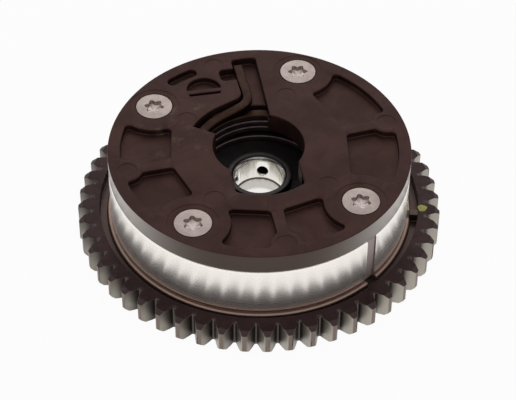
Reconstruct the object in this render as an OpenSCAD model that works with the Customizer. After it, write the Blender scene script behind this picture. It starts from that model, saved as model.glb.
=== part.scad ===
// Vane-type camshaft phaser: a chain sprocket and a vane housing under a bolted front cover,
// with a rotor that turns inside them against a torsion spring.
// Sizes are in millimetres. Z is the camshaft axis: the camshaft side is down, the cover is up.

/* [Sprocket] */
// Pitch of the inverted-tooth chain
chain_pitch = 6.35; // [5.8:0.05:7.2]
// Height of a tooth from root to tip
tooth_h = 3.8; // [3:0.1:4.2]
// Width of the flat on a tooth tip
tooth_tip_w = 1.4; // [0.8:0.1:1.8]
// Width of the flat between two teeth
tooth_root_w = 0.7; // [0.5:0.1:1.4]
// Bulge of the tooth flanks: 1 is straight
flank_power = 1.1; // [1:0.1:2]
// Turn of the ring of teeth about the axis
tooth_turn = -0.5; // [-3:0.1:3]
// Length of the teeth along the axis
tooth_w = 8; // [7.4:0.1:12]
// Drop of the chamfer at the front of each tooth tip
tip_chamfer = 1; // [0.4:0.1:1.5]
// Radial run of that chamfer
tip_chamfer_run = 1.5; // [0.6:0.1:2]
// Thickness of the plate that carries the housing
plate_t = 6.6; // [6:0.1:7.2]
// How far the seat of the housing stands out past the housing
seat_lip = 1.1; // [0.6:0.1:1.4]
// Width of the groove around the housing seat
groove_w = 2.1; // [1.2:0.1:2.4]
// Depth of that groove below the front face of the teeth
groove_depth = 3; // [2:0.1:4]
// Least width of the flange between that groove and the tooth roots
flange_w = 2.4; // [2:0.1:4]
// Radius of the bearing bore that carries the rotor
bearing_r = 17; // [16:0.1:18.5]
// Angle of the timing rib across the groove
mark_angle = -5.5; // [-30:0.5:30]
// Width of the timing rib
mark_w = 2.2; // [1.5:0.1:3]

/* [Housing] */
// Outer radius of the turned housing band
housing_r = 43; // [38:0.1:49]
// Height of the housing
housing_h = 15.6; // [15:0.1:20]
// Thickness of the housing wall
wall_t = 3.6; // [3:0.1:4.2]
// Depth of the chambers from the housing wall to the rotor hub
chamber_depth = 14.8; // [14.2:0.1:15.4]
// Chamfer on the edges of the housing and of its seat
edge_chamfer = 0.4; // [0.2:0.05:0.6]
// Angle that each inward web takes up
web_angle = 30; // [27:0.5:32]
// Angle of the flute down the outside of the housing
flute_angle = -43.5; // [-60:0.5:-30]
// Width of the flute
flute_w = 3.5; // [2.5:0.1:4.5]
// Depth of the flute
flute_depth = 0.7; // [0.4:0.05:1]

/* [Front cover] */
// Thickness of the cover
cover_t = 6.3; // [5.7:0.1:7.2]
// Chamfer on the front edge of the cover
cover_chamfer = 0.1; // [0.1:0.05:0.6]
// Depth of the cast pockets
pocket_depth = 1.8; // [1:0.1:2.2]
// Rounding of the pocket corners
pocket_fillet = 1.3; // [0.8:0.1:1.6]
// Distance from the outside of the cover to the straight inner edge of a pocket
pocket_reach = 17.9; // [17:0.1:18.5]
// Width of the plain rim outside the pockets
pocket_rim = 3.6; // [3:0.1:4.5]
// Angle between a rib and the normal of the inner edge on each side of it
pocket_turn = 14; // [10:0.5:18]
// Width of the rib between two pockets
rib_w = 3.5; // [2.5:0.1:4.5]
// Radius of the solid boss at the end of each rib
rib_boss_r = 4.3; // [3.8:0.1:4.8]
// Radius of the solid boss around each screw
screw_boss_r = 10.4; // [10:0.1:11]
// Radius of an ejector mark
ejector_r = 2.8; // [2:0.1:3.2]
// Distance of the outer ejector marks from the outside of the cover
ejector_out_inset = 4.8; // [4.4:0.1:5.5]
// Distance of the inner ejector marks from the outside of the cover
ejector_in_inset = 19; // [18.5:0.1:19.5]
// Depth of the ejector marks and of the spot faces at the screws
mark_depth = 0.1; // [0.05:0.05:0.3]
// Distance of the round recess from the outside of the cover
plug_inset = 13.2; // [12.6:0.1:14]
// Angle of the round recess
plug_angle = 123.4; // [120:0.1:125]
// Radius of the round recess
plug_r = 5; // [4:0.1:5.2]
// Turn of the rib across the round recess
plug_turn = 10.9; // [0:0.1:20]
// Width of that rib
plug_rib_w = 1.5; // [1:0.1:2]
// Width of the slot beside that rib
plug_slot_w = 1; // [0.8:0.1:1.5]
// Distance of the oblong recess from the outside of the cover
oblong_inset = 5.1; // [4.6:0.1:5.6]
// Angle of the oblong recess
oblong_angle = 127.5; // [126:0.1:129]
// Angle from the middle of the oblong recess to the centre of its round end
oblong_half_angle = 4.9; // [3:0.1:5.2]
// Width of the oblong recess
oblong_w = 3.2; // [2.5:0.1:3.6]

/* [Cover opening] */
// Radius of the round opening in front of the rotor bore
opening_r = 13; // [12.4:0.1:13.4]
// Shift of the round opening away from the window
opening_shift = 1.2; // [0.6:0.1:1.6]
// Width of the window beside the opening
window_w = 19.3; // [17:0.1:20]
// How far the window reaches out past the middle of the spring wire
window_reach = 0.6; // [0:0.1:1.2]
// Rounding of the corners of the opening
opening_fillet = 1.6; // [1:0.1:2]

/* [Return spring] */
// Width of the spring wire across the coil
wire_w = 2.8; // [2.6:0.1:3]
// Thickness of the spring wire along the axis
wire_t = 1.8; // [1.6:0.05:2]
// Distance from the outside of the rotor hub to the middle of the wire
coil_inset = 6.2; // [5.8:0.1:6.6]
// Pitch of the coil
coil_pitch = 2.15; // [2.1:0.01:2.2]
// Pitch of the wider turn before the closed lower end
end_pitch = 3.75; // [3:0.05:4]
// Angle of the closed lower end
closed_angle = 190; // [150:5:220]
// Full turns of the coil, besides the part turn to its lower end
coil_turns = 4; // [3:1:4]
// Angle on the coil where the wire leaves it for the upper leg
leg_angle = 125; // [123:0.5:127]
// Straight run from the coil to the bend of the upper leg
leg_run = 5.8; // [5:0.1:6.2]
// Centreline radius of that bend
leg_bend_r = 5; // [4.6:0.1:5.4]
// Angle of that bend
leg_bend = 68; // [66:0.5:70]
// Straight length of the upper leg
leg_len = 13.2; // [12:0.1:13.8]
// Depth of the upper leg below the front face of the cover
leg_depth = 0.6; // [0.4:0.05:0.7]
// Centreline radius of the bend at the lower end
tang_bend_r = 3; // [2.6:0.1:3.2]
// Straight length of the lower end
tang_len = 1.9; // [1.5:0.1:2]
// Room in the cover beyond the end of the upper leg
leg_end_room = 2; // [1.5:0.1:2.5]
// Room beside the upper leg on the open side of its channel
leg_side_room = 3.5; // [2.5:0.1:4]
// Splay of the open side of the channel
leg_splay = 3.1; // [2:0.1:5]
// Distance along the upper leg to the side notch of its channel
notch_from = 6.4; // [5.5:0.1:7]
// Width of the side notch
notch_w = 5; // [4:0.1:5.5]
// Depth of the side notch, from the centre of the leg
notch_depth = 6.2; // [5:0.1:6.8]
// Angle that the slot over the coil reaches back past the start of the upper leg
slot_back_angle = 25; // [20:1:28]
// Angle where the slot over the coil ends
slot_end_angle = 155.5; // [150:0.5:160]
// Ledge between the slot over the coil and the open side of the channel
slot_ledge = 0.3; // [0.2:0.1:0.6]
// Thickness of the cover lip over the coil
lip_t = 1.1; // [1:0.05:1.3]
// Room around the coil in its well
well_gap = 1.1; // [0.8:0.1:1.3]

/* [Screws] */
// Distance of the cover screws from the outside of the cover
screw_inset = 7.9; // [7.5:0.1:8.5]
// Angles of the cover screws
screw_angles = [71.5, 150.7, 239.4, 323]; // [0:0.1:360]
// Radius of a screw shank
screw_r = 3; // [2.5:0.1:3.2]
// Radius of a screw head
head_r = 5.2; // [4.8:0.1:5.4]
// Radius of the spot face around a head
spot_r = 7.2; // [6:0.1:7.8]
// Radius of the six-lobed drive recess
drive_r = 2.8; // [2.4:0.1:3]
// Radius of the drive recess between its lobes
drive_waist_r = 2; // [1.7:0.05:2.2]
// Radius of each lobe
drive_lobe_r = 0.7; // [0.5:0.05:0.8]
// Turn of the drive recess in each screw
drive_turns = [3, -3, 30, 33]; // [-60:1:60]
// Depth of the drive recess
drive_depth = 1.8; // [1:0.1:2]
// Depth of the blind screw holes in the sprocket plate
screw_grip = 5.4; // [4:0.1:5.6]

/* [Rotor] */
// Angle that the rotor can turn
swing = 25; // [18:0.5:27]
// Extra room at the vanes that don't touch a stop
vane_relief = 2; // [1:0.5:3]
// Radius of the bore for the camshaft bolt
bore_r = 7; // [6.5:0.1:7.4]
// Step to the tighter lower end of that bore
bore_step = 0.4; // [0.2:0.1:0.6]
// Height of that step above the camshaft side
bore_step_z = 10; // [9:0.1:10.8]
// Radial width of the bevel at the mouth of the bore
bore_bevel = 0.9; // [0.5:0.1:1.2]
// Height of that bevel
bore_bevel_h = 1.3; // [1:0.1:1.6]
// Width of the seat for the bolt head around the bevel
bolt_seat_w = 1.4; // [1:0.1:2]
// Depth of the bolt seat below the front face of the cover
bolt_seat_depth = 10.2; // [9.5:0.1:11]
// Radius of the camshaft pilot in the back of the rotor
pilot_r = 14; // [13:0.1:14.5]
// Depth of the camshaft pilot
pilot_depth = 3; // [2:0.1:3.4]
// Set-back of the rotor from the rear face of the sprocket
rotor_setback = 0.6; // [0.3:0.1:1]
// Radius of the dowel hole for the camshaft
dowel_r = 2; // [1.5:0.1:2.2]
// Distance of the dowel hole from the axis
dowel_circle_r = 10.4; // [10:0.1:10.8]
// Depth of the dowel hole
dowel_depth = 5; // [3:0.1:6]
// Radius of the oil holes
oil_r = 1.6; // [1:0.1:1.7]
// Height of the upper row of oil holes
oil_upper_z = 12.9; // [12.4:0.1:13.2]
// Height of the lower row of oil holes
oil_lower_z = 8.6; // [8.4:0.1:9]
// Angle between an oil hole and the side of its vane
oil_turn = 6.9; // [5:0.1:8]
// Distance from the axis to the upright holes that feed the lower row
oil_feed_circle_r = 12; // [11.6:0.1:12.3]
// Radius of those upright holes
oil_feed_r = 1.3; // [1:0.1:1.4]

/* [Seals] */
// Width of a seal strip
seal_w = 2.2; // [1.8:0.1:2.6]
// Radial depth of a seal strip
seal_d = 2.3; // [2:0.1:2.4]
// Room behind a seal strip for its leaf spring
seal_room = 0.9; // [0.8:0.05:1]
// Thickness of a leaf spring
leaf_t = 0.2; // [0.15:0.05:0.25]
// Bow of a leaf spring
leaf_bow = 0.5; // [0.4:0.05:0.55]
// Length of a leaf spring
leaf_len = 12; // [10:0.5:13.5]

/* [Lock pin] */
// Radius of the lock pin
pin_r = 4; // [3.6:0.1:4.2]
// Length of the lock pin
pin_len = 9.5; // [8.5:0.1:10]
// Distance of the lock pin from the housing wall
pin_inset = 8.4; // [8.2:0.1:8.8]
// Wall of the hollow lock pin
pin_wall = 1.3; // [1:0.1:1.5]
// Thickness of the closed end of the lock pin
pin_nose = 3; // [2:0.1:4]
// Height of the stop that carries the lock pin spring
stop_h = 3; // [2:0.1:3.4]
// Radius of the vent through that stop
stop_vent_r = 1.3; // [0.8:0.1:2]
// Step between the lock pin bore and the seat of the stop
stop_step = 0.6; // [0.4:0.1:0.7]
// Wall of the hardened ring that the lock pin drops into
seat_wall = 1.4; // [1:0.1:1.8]
// Depth of that ring in the sprocket plate
seat_depth = 3.2; // [2.5:0.1:4]
// Wire diameter of the lock pin spring
pin_wire_d = 0.7; // [0.5:0.05:0.8]
// Turns of the lock pin spring
pin_spring_turns = 6; // [4:1:8]

/* [Clearances] */
// Radial gap of sliding and turning fits
running_gap = 0.05; // [0.03:0.01:0.08]
// Gap between the rotor and the faces above and below it
face_gap = 0.05; // [0.04:0.01:0.1]
// Gap between the vane tips, or the web tips, and the wall that they pass
tip_gap = 0.3; // [0.2:0.05:0.5]
// Angle left free at each stop of the rotor
stop_gap = 0.4; // [0.2:0.1:0.6]
// Radial gap around the screws
screw_gap = 0.25; // [0.15:0.05:0.4]
// Radial gap of pressed and threaded pieces
press_gap = 0.02; // [0.01:0.01:0.03]
// Radial gap between the lock pin and the ring that it drops into
pin_seat_gap = 0.25; // [0.15:0.05:0.3]
// Gap under the end of a cover screw
screw_end_gap = 0.1; // [0.05:0.05:0.3]
// Gap between the upper leg of the spring and the wall that it bears on
leg_wall_gap = 0.3; // [0.2:0.05:0.5]
// Gap between the bend of the upper leg and the tongue of the cover
tongue_gap = 0.6; // [0.4:0.1:0.9]
// Gap between a spring and what it rests on
spring_gap = 0.1; // [0.05:0.05:0.15]

/* [Hidden] */

$fn = 96;
// Overshoot of cutting shapes
cut = 1;

// Chain sprocket, with as many teeth as the flange around the housing needs
seat_r = housing_r + seat_lip;
groove_r = seat_r + groove_w;
groove_z = tooth_w - groove_depth;
least_tip_r = groove_r + flange_w + tooth_h;
tooth_count = ceil(180 / atan(chain_pitch / 2 / least_tip_r));
half_tooth = 180 / tooth_count;
tip_r = chain_pitch / 2 / tan(half_tooth);
root_r = tip_r - tooth_h;
flank_steps = 3;

// Levels along the axis
cover_z = plate_t + housing_h;
top_z = cover_z + cover_t;
rotor_z = plate_t + face_gap;
rotor_top_z = cover_z - face_gap;
rotor_h = rotor_top_z - rotor_z;

// Radii of the housing and of the rotor
chamber_r = housing_r - wall_t;
hub_r = chamber_r - chamber_depth;
vane_r = chamber_r - tip_gap;
web_r = hub_r + tip_gap;
screw_circle_r = housing_r - screw_inset;
pin_circle_r = chamber_r - pin_inset;

// Chambers between the webs, each with one vane; the widest vane carries the lock pin
chambers = [0:3];
lock_vane = 3;
function web_at(i) = screw_angles[i % 4] + 360 * floor(i / 4);
function chamber_mid(i) = (web_at(i) + web_at(i + 1)) / 2;
function side_room(i) = web_angle / 2 + stop_gap + (i == lock_vane ? 0 : vane_relief);
function vane_from(i) = web_at(i) + side_room(i);
function vane_to(i) = web_at(i + 1) - side_room(i) - swing;
function vane_mid(i) = (vane_from(i) + vane_to(i)) / 2;

// Return spring
coil_r = hub_r - coil_inset;
well_in = coil_r - wire_w / 2 - well_gap;
well_out = coil_r + wire_w / 2 + well_gap;
window_angle = chamber_mid(2);
// The lower end bends a quarter turn outwards, in the middle of the window
tang_angle = window_angle;
tang_bend = 90;
coil_angle = 360 * coil_turns + tang_angle - leg_angle;
wide_from = coil_angle - closed_angle - 360;
leg_z = top_z - leg_depth - wire_t / 2;
coil_z = top_z - lip_t - spring_gap - wire_t / 2;
cup_z = coil_level(coil_angle) - wire_t / 2 - spring_gap;
leg_heading = leg_angle - 90 + leg_bend;
leg_channel_depth = leg_depth + wire_t + spring_gap;
coil_start = polar(coil_r, leg_angle);
run_end = coil_start + polar(leg_run, leg_angle - 90);
leg_start = leg_bend_point(leg_bend);
bend_step = 10;
coil_step = 10;

// Rotor
bolt_seat_z = top_z - bolt_seat_depth;
bolt_seat_r = bore_r + bore_bevel + bolt_seat_w;
bore_low_r = bore_r - bore_step;
pilot_z = rotor_setback + pilot_depth;
tang_slot_r = coil_r + tang_bend_r + tang_len + 2 * spring_gap;
dowel_angle = web_at(0);

// Seals
slot_d = seal_d + seal_room;
seal_h = rotor_h - 2 * face_gap;

// Lock pin
pin_angle = vane_mid(lock_vane);
pin_bore_r = pin_r + running_gap;
stop_r = pin_bore_r + stop_step;
stop_z = rotor_top_z - stop_h;
pin_hollow_r = pin_r - pin_wall;
pin_spring_z = rotor_z + pin_nose + spring_gap;
pin_spring_h = stop_z - spring_gap - pin_spring_z;
pin_spring_r = pin_hollow_r - pin_wire_d / 2 - spring_gap;
seat_in_r = pin_r + pin_seat_gap;
seat_out_r = seat_in_r + seat_wall;

// Cover
pocket_r = housing_r - pocket_rim;
pocket_in = housing_r - pocket_reach;
ejector_out = housing_r - ejector_out_inset;
ejector_in = housing_r - ejector_in_inset;
plug_circle_r = housing_r - plug_inset;
oblong_circle_r = housing_r - oblong_inset;
window_r = coil_r + window_reach;

colour_oxide = [0.26, 0.2, 0.18];
colour_turned = [0.86, 0.84, 0.81];
colour_tooth = [0.3, 0.25, 0.24];
colour_spring = [0.36, 0.24, 0.19];
colour_screw = [0.72, 0.68, 0.67];
colour_steel = [0.6, 0.6, 0.6];
colour_seal = [0.15, 0.15, 0.16];

function polar(r, a) = [r * cos(a), r * sin(a)];

// Point on the bend of the upper leg, turned from where the bend meets the straight run
function leg_bend_point(turned) =
    run_end + polar(leg_bend_r, leg_angle) - polar(leg_bend_r, leg_angle + turned);

// Point on the bend of the lower end, turned from where the bend meets the coil
function tang_bend_point(turned) =
    polar(coil_r + tang_bend_r, tang_angle) - polar(tang_bend_r, tang_angle - turned);

// Height of the wire after the coil has turned by an angle
function coil_level(turned) =
    coil_z - (coil_pitch * min(turned, wide_from) + end_pitch * max(0, min(turned - wide_from, 360))) / 360;

// Half the angle of a tooth at a share of its height
function tooth_half_angle(share) =
    let (at_tip = asin(tooth_tip_w / 2 / tip_r),
         at_root = half_tooth - asin(tooth_root_w / 2 / root_r))
    at_tip + (at_root - at_tip) * (1 - pow(share, flank_power));

// One tooth as polar points, from its left root over the tip to its right root
tooth_rise = [for (k = [0:flank_steps])
    [root_r + tooth_h * k / flank_steps, -tooth_half_angle(k / flank_steps)]];
tooth_fall = [for (k = [flank_steps:-1:0])
    [root_r + tooth_h * k / flank_steps, tooth_half_angle(k / flank_steps)]];

// Ring sector between two angles, from height z
module sector(r_in, r_out, a_from, a_to, z, h) {
    translate([0, 0, z])
        rotate([0, 0, a_from])
            rotate_extrude(angle = a_to - a_from)
                translate([r_in, 0])
                    square([r_out - r_in, h]);
}

// Upright cylinder on a circle about the axis
module post(circle_r, a, r, z, h) {
    translate(concat(polar(circle_r, a), [z]))
        cylinder(r = r, h = h);
}

// Box that runs outwards from r_in at an angle, centred across it
module radial_box(r_in, r_out, a, w, z, h) {
    rotate([0, 0, a])
        translate([r_in, -w / 2, z])
            cube([r_out - r_in, w, h]);
}

// Rounds the inner and outer corners of a flat outline
module rounded(inner, outer) {
    offset(r = outer) offset(delta = -outer) offset(r = -inner) offset(delta = inner)
        children();
}

// Solid swept along points [x, y, z, heading] with an upright section of [across, up] corners
module sweep(path, section) {
    n = len(section);
    last = len(path) - 1;
    points = [for (p = path) for (c = section)
        [p[0] + c[0] * sin(p[3]), p[1] - c[0] * cos(p[3]), p[2] + c[1]]];
    sides = [for (i = [0:last - 1]) for (k = [0:n - 1])
        let (a = i * n + k, b = i * n + (k + 1) % n)
        each [[a, a + n, b], [b, a + n, b + n]]];
    caps = [[for (k = [0:n - 1]) k], [for (k = [n - 1:-1:0]) last * n + k]];
    polyhedron(points = points, faces = concat(sides, caps));
}

module sprocket_teeth() {
    polygon([for (i = [0:tooth_count - 1]) for (p = concat(tooth_rise, tooth_fall))
        polar(p[0], p[1] + half_tooth * (2 * i + 1) + tooth_turn)]);
}

// Half section of the sprocket: bearing bore, tooth tips, groove and housing seat
module sprocket_section() {
    polygon([
        [bearing_r, 0], [tip_r - tip_chamfer, 0], [tip_r, tip_chamfer],
        [tip_r, tooth_w - tip_chamfer], [tip_r - tip_chamfer_run, tooth_w],
        [groove_r, tooth_w], [groove_r, groove_z], [seat_r, groove_z],
        [seat_r, plate_t - edge_chamfer], [seat_r - edge_chamfer, plate_t], [bearing_r, plate_t]
    ]);
}

module sprocket() {
    color(colour_tooth)
    difference() {
        union() {
            intersection() {
                linear_extrude(tooth_w) sprocket_teeth();
                rotate_extrude() sprocket_section();
            }
            radial_box(seat_r - edge_chamfer, groove_r + edge_chamfer, mark_angle, mark_w,
                       groove_z - edge_chamfer, groove_depth);
        }
        for (a = screw_angles)
            post(screw_circle_r, a, screw_r + press_gap, plate_t - screw_grip, screw_grip + cut);
        post(pin_circle_r, pin_angle, seat_out_r + press_gap, plate_t - seat_depth, seat_depth + cut);
        radial_box(housing_r - flute_depth, seat_r + cut / 2, flute_angle, flute_w,
                   groove_z, plate_t - groove_z + cut);
    }
}

// Outline of the housing: the wall with its four inward webs
module housing_outline() {
    reach = 2 * housing_r;
    difference() {
        circle(r = housing_r);
        circle(r = chamber_r);
    }
    for (a = screw_angles)
        difference() {
            intersection() {
                circle(r = chamber_r + wall_t / 2);
                polygon([[0, 0], polar(reach, a - web_angle / 2), polar(reach, a + web_angle / 2)]);
            }
            circle(r = web_r);
        }
}

// Ring that cuts a chamfer c from the outer edge of the housing at height z: up is 1 on top, -1 below
module housing_chamfer(c, z, up) {
    rotate_extrude()
        polygon([
            [housing_r - c - cut, z + up * cut], [housing_r + cut, z - up * (c + cut)],
            [housing_r + cut, z + up * cut]
        ]);
}

module housing() {
    color(colour_turned)
    difference() {
        translate([0, 0, plate_t]) linear_extrude(housing_h) housing_outline();
        housing_chamfer(edge_chamfer, cover_z, 1);
        housing_chamfer(2 * edge_chamfer, plate_t, -1);
        for (a = screw_angles) {
            post(screw_circle_r, a, screw_r + screw_gap, plate_t - cut, housing_h + 2 * cut);
            radial_box(web_r - cut, hub_r + running_gap + slot_d, a, seal_w + 2 * running_gap,
                       plate_t - cut, housing_h + 2 * cut);
        }
        radial_box(housing_r - flute_depth, housing_r + cut, flute_angle, flute_w,
                   plate_t - cut, housing_h + 2 * cut);
    }
}

// Outline of one cast pocket, on one side of the rib at rib_a
module pocket_outline(rib_a, side, screw_a) {
    reach = 2 * housing_r;
    rounded(pocket_fillet / 4, pocket_fillet)
    difference() {
        intersection() {
            circle(r = pocket_r);
            rotate(rib_a + side * pocket_turn) translate([pocket_in, -reach / 2]) square(reach);
            polygon([[0, 0], polar(reach, rib_a), polar(reach, screw_a)]);
        }
        translate(polar(screw_circle_r, screw_a)) circle(r = screw_boss_r);
        translate(polar(ejector_out, rib_a)) circle(r = rib_boss_r);
        rotate(rib_a) translate([0, -rib_w / 2]) square([reach, rib_w]);
    }
}

// Round opening with the window that shows the lower end of the spring
module opening_outline() {
    rounded(opening_fillet, opening_fillet) {
        translate(polar(opening_shift, window_angle + 180)) circle(r = opening_r);
        intersection() {
            circle(r = window_r);
            rotate(window_angle) translate([0, -window_w / 2]) square([window_r, window_w]);
        }
    }
}

// Strip of the channel along the upper leg, whose own frame has +X outwards, set in on its open side
module leg_strip(inset) {
    u_from = -norm(leg_start) / 2;
    u_to = leg_len + leg_end_room;
    near_wall = wire_w / 2 + leg_wall_gap;
    function far_wall(u) = inset - (wire_w / 2 + leg_side_room + u * tan(leg_splay));
    translate(leg_start)
        rotate(leg_heading)
            polygon([
                [u_from, far_wall(u_from)], [u_to, far_wall(u_to)], [u_to, near_wall], [u_from, near_wall]
            ]);
}

// Strip of the channel along the straight run from the coil to the leg
module run_strip() {
    translate(coil_start)
        rotate(leg_angle - 90)
            translate([0, -wire_w])
                square([leg_run + leg_bend_r, wire_w + wire_w / 2 + well_gap]);
}

// Part of the well that the slot leaves open over the coil
module slot_outline() {
    reach = 2 * well_out;
    intersection() {
        circle(r = well_out);
        union() {
            polygon([[0, 0], polar(reach, leg_angle - slot_back_angle), polar(reach, slot_end_angle)]);
            leg_strip(slot_ledge);
        }
    }
}

// Channel for the upper leg, with the side notch and the rounded tongue between notch and coil
module leg_channel_outline() {
    tongue_r = leg_bend_r - wire_w / 2 - tongue_gap;
    intersection() {
        circle(r = pocket_r);
        rounded(0, pocket_fillet) {
            rounded(tongue_r, 0) {
                slot_outline();
                run_strip();
                leg_strip(0);
            }
            translate(leg_start)
                rotate(leg_heading)
                    translate([notch_from, 0])
                        square([notch_w, notch_depth]);
        }
    }
}

// Round cast recess with a rib and a narrow slot across it
module plug_recess() {
    translate(concat(polar(plug_circle_r, plug_angle), [top_z - pocket_depth]))
        rotate([0, 0, plug_turn])
            linear_extrude(pocket_depth + cut)
                difference() {
                    circle(r = plug_r);
                    translate([-plug_r, -plug_rib_w]) square([2 * plug_r, plug_rib_w]);
                    translate([-plug_r, -plug_slot_w - plug_rib_w - plug_r])
                        square([2 * plug_r, plug_r]);
                }
}

// Oblong cast recess along an arc
module oblong_recess() {
    z = top_z - pocket_depth;
    sector(oblong_circle_r - oblong_w / 2, oblong_circle_r + oblong_w / 2,
           oblong_angle - oblong_half_angle, oblong_angle + oblong_half_angle, z, pocket_depth + cut);
    for (side = [-1, 1])
        post(oblong_circle_r, oblong_angle + side * oblong_half_angle, oblong_w / 2, z, pocket_depth + cut);
}

module screw_holes() {
    head_depth = head_r - screw_r;
    for (a = screw_angles)
        translate(concat(polar(screw_circle_r, a), [0])) {
            translate([0, 0, cover_z - cut]) cylinder(r = screw_r + screw_gap, h = cover_t + 2 * cut);
            translate([0, 0, top_z - mark_depth - head_depth])
                cylinder(r1 = screw_r + screw_gap, r2 = head_r + screw_gap, h = head_depth);
            translate([0, 0, top_z - mark_depth]) cylinder(r = spot_r, h = mark_depth + cut);
        }
}

module ejector_marks() {
    for (i = chambers) {
        post(ejector_out, chamber_mid(i), ejector_r, top_z - mark_depth, mark_depth + cut);
        post(ejector_in, web_at(i), ejector_r, top_z - mark_depth, mark_depth + cut);
    }
}

module front_cover() {
    c = cover_chamfer;
    color(colour_oxide)
    difference() {
        rotate_extrude()
            polygon([
                [0, cover_z], [housing_r - edge_chamfer, cover_z], [housing_r, cover_z + edge_chamfer],
                [housing_r, top_z - c], [housing_r - c, top_z], [0, top_z]
            ]);
        sector(well_in, well_out, 0, 360, cover_z - cut, cover_t - lip_t + cut);
        translate([0, 0, cover_z - cut]) linear_extrude(cover_t + 2 * cut) opening_outline();
        translate([0, 0, cover_z - cut]) linear_extrude(cover_t + 2 * cut) slot_outline();
        translate([0, 0, top_z - leg_channel_depth])
            linear_extrude(leg_channel_depth + cut) leg_channel_outline();
        for (i = [1:3], side = [-1, 1])
            translate([0, 0, top_z - pocket_depth])
                linear_extrude(pocket_depth + cut)
                    pocket_outline(chamber_mid(i), side, side > 0 ? web_at(i + 1) : web_at(i));
        plug_recess();
        oblong_recess();
        ejector_marks();
        screw_holes();
    }
}

// Outline of the rotor: the hub with its four vanes
module rotor_outline() {
    reach = 2 * vane_r;
    circle(r = hub_r);
    for (i = chambers)
        intersection() {
            circle(r = vane_r);
            polygon([[0, 0], polar(reach, vane_from(i)), polar(reach, vane_to(i))]);
        }
}

// Half section of the hollow of the rotor: camshaft pilot, bolt bore, bolt seat and spring cup
module hollow_section() {
    c = edge_chamfer;
    polygon([
        [0, rotor_setback - cut], [pilot_r, rotor_setback - cut], [pilot_r, pilot_z], [bore_low_r, pilot_z],
        [bore_low_r, bore_step_z], [bore_r, bore_step_z], [bore_r, bolt_seat_z - bore_bevel_h],
        [bore_r + bore_bevel, bolt_seat_z], [bolt_seat_r, bolt_seat_z], [bolt_seat_r, cup_z],
        [well_out, cup_z], [well_out, rotor_top_z - c], [well_out + c, rotor_top_z],
        [well_out + c, rotor_top_z + cut], [0, rotor_top_z + cut]
    ]);
}

// Oil hole from r_in out through the hub
module oil_hole(r_in, a, z) {
    rotate([0, 0, a])
        translate([r_in, 0, z])
            rotate([0, 90, 0])
                cylinder(r = oil_r, h = hub_r - r_in + cut);
}

module rotor() {
    color(colour_oxide)
    difference() {
        union() {
            translate([0, 0, rotor_z]) linear_extrude(rotor_h) rotor_outline();
            translate([0, 0, rotor_setback])
                cylinder(r = bearing_r - running_gap, h = rotor_z - rotor_setback + cut);
        }
        rotate_extrude() hollow_section();
        for (i = chambers) {
            radial_box(chamber_r - running_gap - slot_d, vane_r + cut, vane_mid(i),
                       seal_w + 2 * running_gap, rotor_z - cut, rotor_h + 2 * cut);
            oil_hole(bore_low_r - cut, vane_from(i) - oil_turn, oil_upper_z);
            oil_hole(oil_feed_circle_r - oil_r / 2, vane_to(i) + oil_turn, oil_lower_z);
            post(oil_feed_circle_r, vane_to(i) + oil_turn, oil_feed_r,
                 pilot_z - cut, oil_lower_z + oil_r / 2 - pilot_z + cut);
        }
        post(pin_circle_r, pin_angle, pin_bore_r, rotor_z - cut, rotor_h + 2 * cut);
        post(pin_circle_r, pin_angle, stop_r, stop_z, stop_h + cut);
        post(dowel_circle_r, dowel_angle, dowel_r, pilot_z - cut, dowel_depth + cut);
        tang_slot();
    }
}

// Slot in the wall of the spring cup that holds the lower end of the spring
module tang_slot() {
    side = tang_bend_r + wire_w / 2 + spring_gap;
    rotate([0, 0, tang_angle])
        translate([coil_r, -spring_gap, cup_z])
            cube([tang_slot_r - coil_r, side + spring_gap, rotor_top_z - cup_z + cut]);
}

module return_spring() {
    half_w = wire_w / 2;
    half_t = wire_t / 2;
    section = [[half_w, -half_t], [half_w, half_t], [-half_w, half_t], [-half_w, -half_t]];
    function at(p, z, heading) = [p[0], p[1], z, heading];
    leg_end = leg_start + polar(leg_len, leg_heading);
    tang_heading = tang_angle + 90 - tang_bend;
    tang_end = tang_bend_point(tang_bend) + polar(tang_len, tang_heading);
    tang_z = coil_level(coil_angle);
    leg_bends = round(leg_bend / bend_step);
    tang_bends = round(tang_bend / bend_step);
    coils = round(coil_angle / coil_step);
    path = concat(
        [at(leg_end, leg_z, leg_heading + 180)],
        [for (k = [leg_bends:-1:0]) let (b = leg_bend * k / leg_bends)
            at(leg_bend_point(b), leg_z, leg_angle + b + 90)],
        [for (k = [0:coils]) let (t = coil_angle * k / coils)
            at(polar(coil_r, leg_angle + t), coil_level(t), leg_angle + t + 90)],
        [for (k = [1:tang_bends]) let (b = tang_bend * k / tang_bends)
            at(tang_bend_point(b), tang_z, tang_angle + 90 - b)],
        [at(tang_end, tang_z, tang_heading)]
    );
    color(colour_spring) sweep(path, section);
}

module lock_pin() {
    color(colour_steel)
    translate(concat(polar(pin_circle_r, pin_angle), [rotor_z]))
        rotate_extrude()
            polygon([
                [0, 0], [pin_r - 2 * edge_chamfer, 0], [pin_r, edge_chamfer], [pin_r, pin_len],
                [pin_hollow_r, pin_len], [pin_hollow_r, pin_nose], [0, pin_nose]
            ]);
}

module lock_pin_spring() {
    sides = 6;
    steps = 18;
    rise = (pin_spring_h - pin_wire_d) / pin_spring_turns / steps;
    section = [for (k = [0:sides - 1]) polar(pin_wire_d / 2, -360 * k / sides)];
    path = [for (k = [0:pin_spring_turns * steps]) let (a = 360 * k / steps)
        [pin_spring_r * cos(a), pin_spring_r * sin(a), k * rise, a + 90]];
    color(colour_steel)
    translate(concat(polar(pin_circle_r, pin_angle), [pin_spring_z + pin_wire_d / 2]))
        sweep(path, section);
}

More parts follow.
